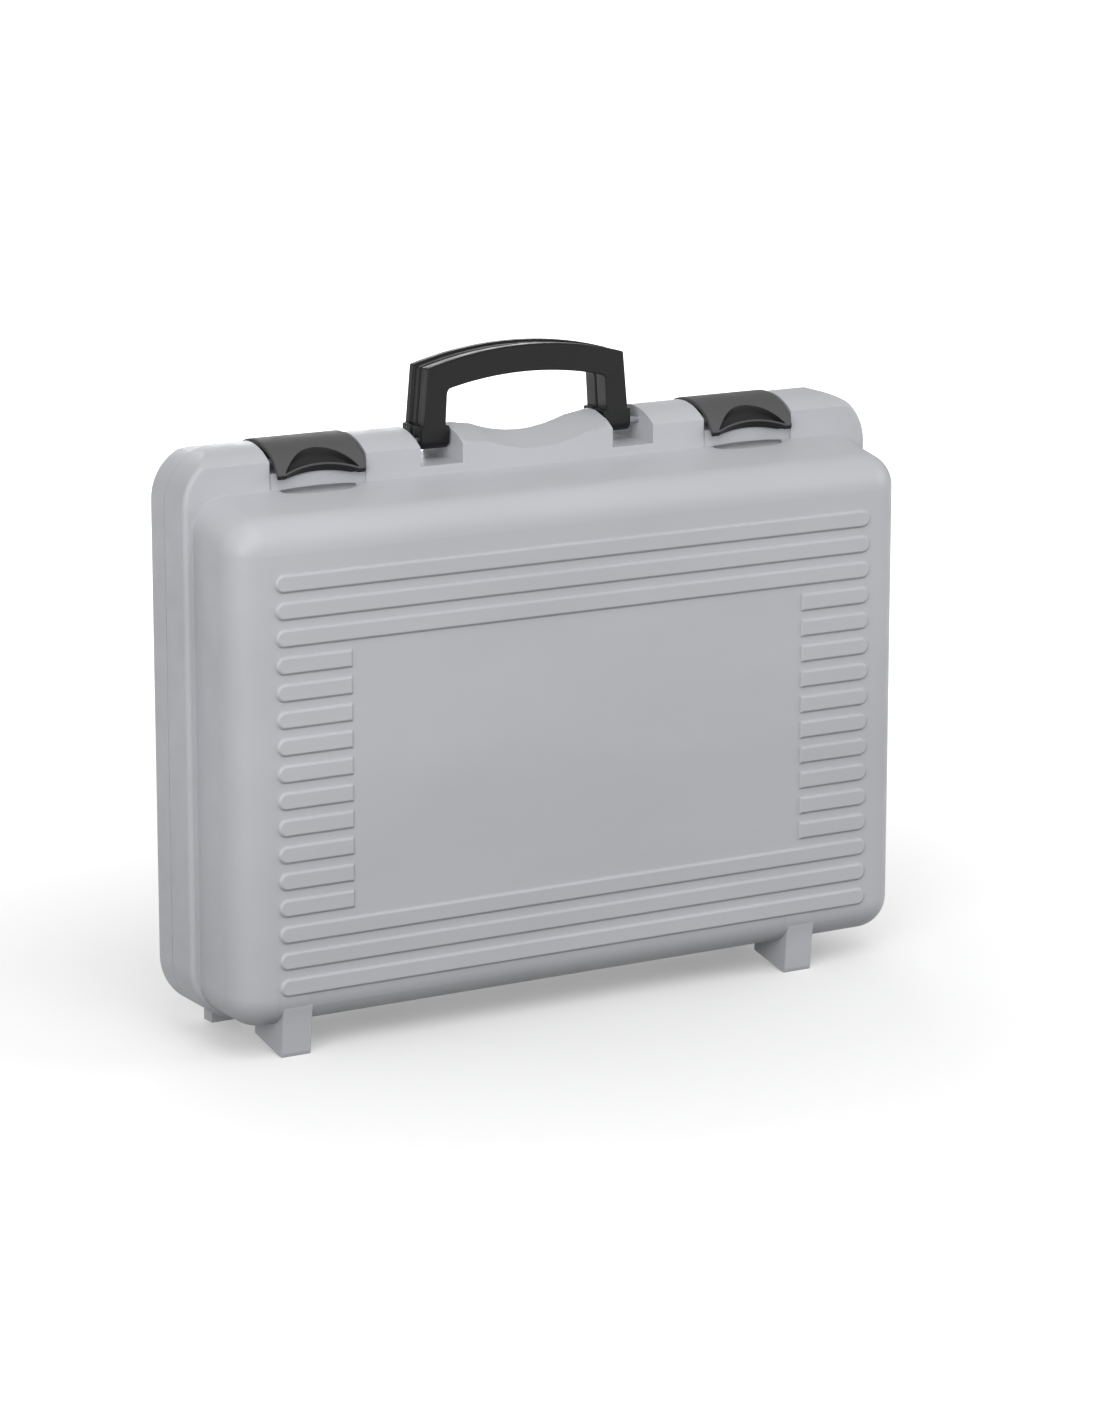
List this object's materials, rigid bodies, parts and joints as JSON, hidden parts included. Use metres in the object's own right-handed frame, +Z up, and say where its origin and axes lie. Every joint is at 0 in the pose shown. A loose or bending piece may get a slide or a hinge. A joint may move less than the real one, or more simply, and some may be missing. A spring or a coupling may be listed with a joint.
{
  "type": "plastic carrying case",
  "caption": "Hard plastic carrying case with a deep shell, a shallow hinged lid, snap latches on top and a split folding handle.",
  "frame": {"origin": "on the ground, under the middle of the closed case", "axes": "+X along the width, +Y from the ribbed front to the lid, +Z up"},
  "size_m": [0.432, 0.095, 0.3635],
  "materials": {
    "case_plastic": "light grey, satin, finely textured",
    "handle_plastic": "black, satin, finely grained",
    "latch_plastic": "charcoal, satin",
    "pin_steel": "drawn steel"
  },
  "bodies": {
    "front_case": {"front_shell": "case_plastic", "left_hinge_pin": "pin_steel", "right_hinge_pin": "pin_steel", "front_left_handle_pin": "pin_steel", "front_right_handle_pin": "pin_steel"},
    "lid": {"rear_shell": "case_plastic", "left_latch_pin": "pin_steel", "right_latch_pin": "pin_steel", "rear_left_handle_pin": "pin_steel", "rear_right_handle_pin": "pin_steel"},
    "front_grip": {"front_handle": "handle_plastic"},
    "rear_grip": {"rear_handle": "handle_plastic"},
    "left_catch": {"left_latch": "latch_plastic"},
    "right_catch": {"right_latch": "latch_plastic"}
  },
  "joints": [
    {"name": "lid_hinge", "type": "hinge", "parent": "front_case", "child": "lid", "pos_m": [0, 0.0245, 0.0093], "axis": [-1, 0, 0], "range_deg": [0, 130]},
    {"name": "front_handle_fold", "type": "hinge", "parent": "front_case", "child": "front_grip", "pos_m": [0, 0.0187, 0.3154], "axis": [1, 0, 0], "range_deg": [0, 105]},
    {"name": "rear_handle_fold", "type": "hinge", "parent": "lid", "child": "rear_grip", "pos_m": [0, 0.0303, 0.3154], "axis": [-1, 0, 0], "range_deg": [0, 105]},
    {"name": "left_latch_lift", "type": "hinge", "parent": "lid", "child": "left_catch", "pos_m": [-0.136, 0.0335, 0.3145], "axis": [-1, 0, 0], "range_deg": [0, 100]},
    {"name": "right_latch_lift", "type": "hinge", "parent": "lid", "child": "right_catch", "pos_m": [0.136, 0.0335, 0.3145], "axis": [-1, 0, 0], "range_deg": [0, 100]}
  ]
}
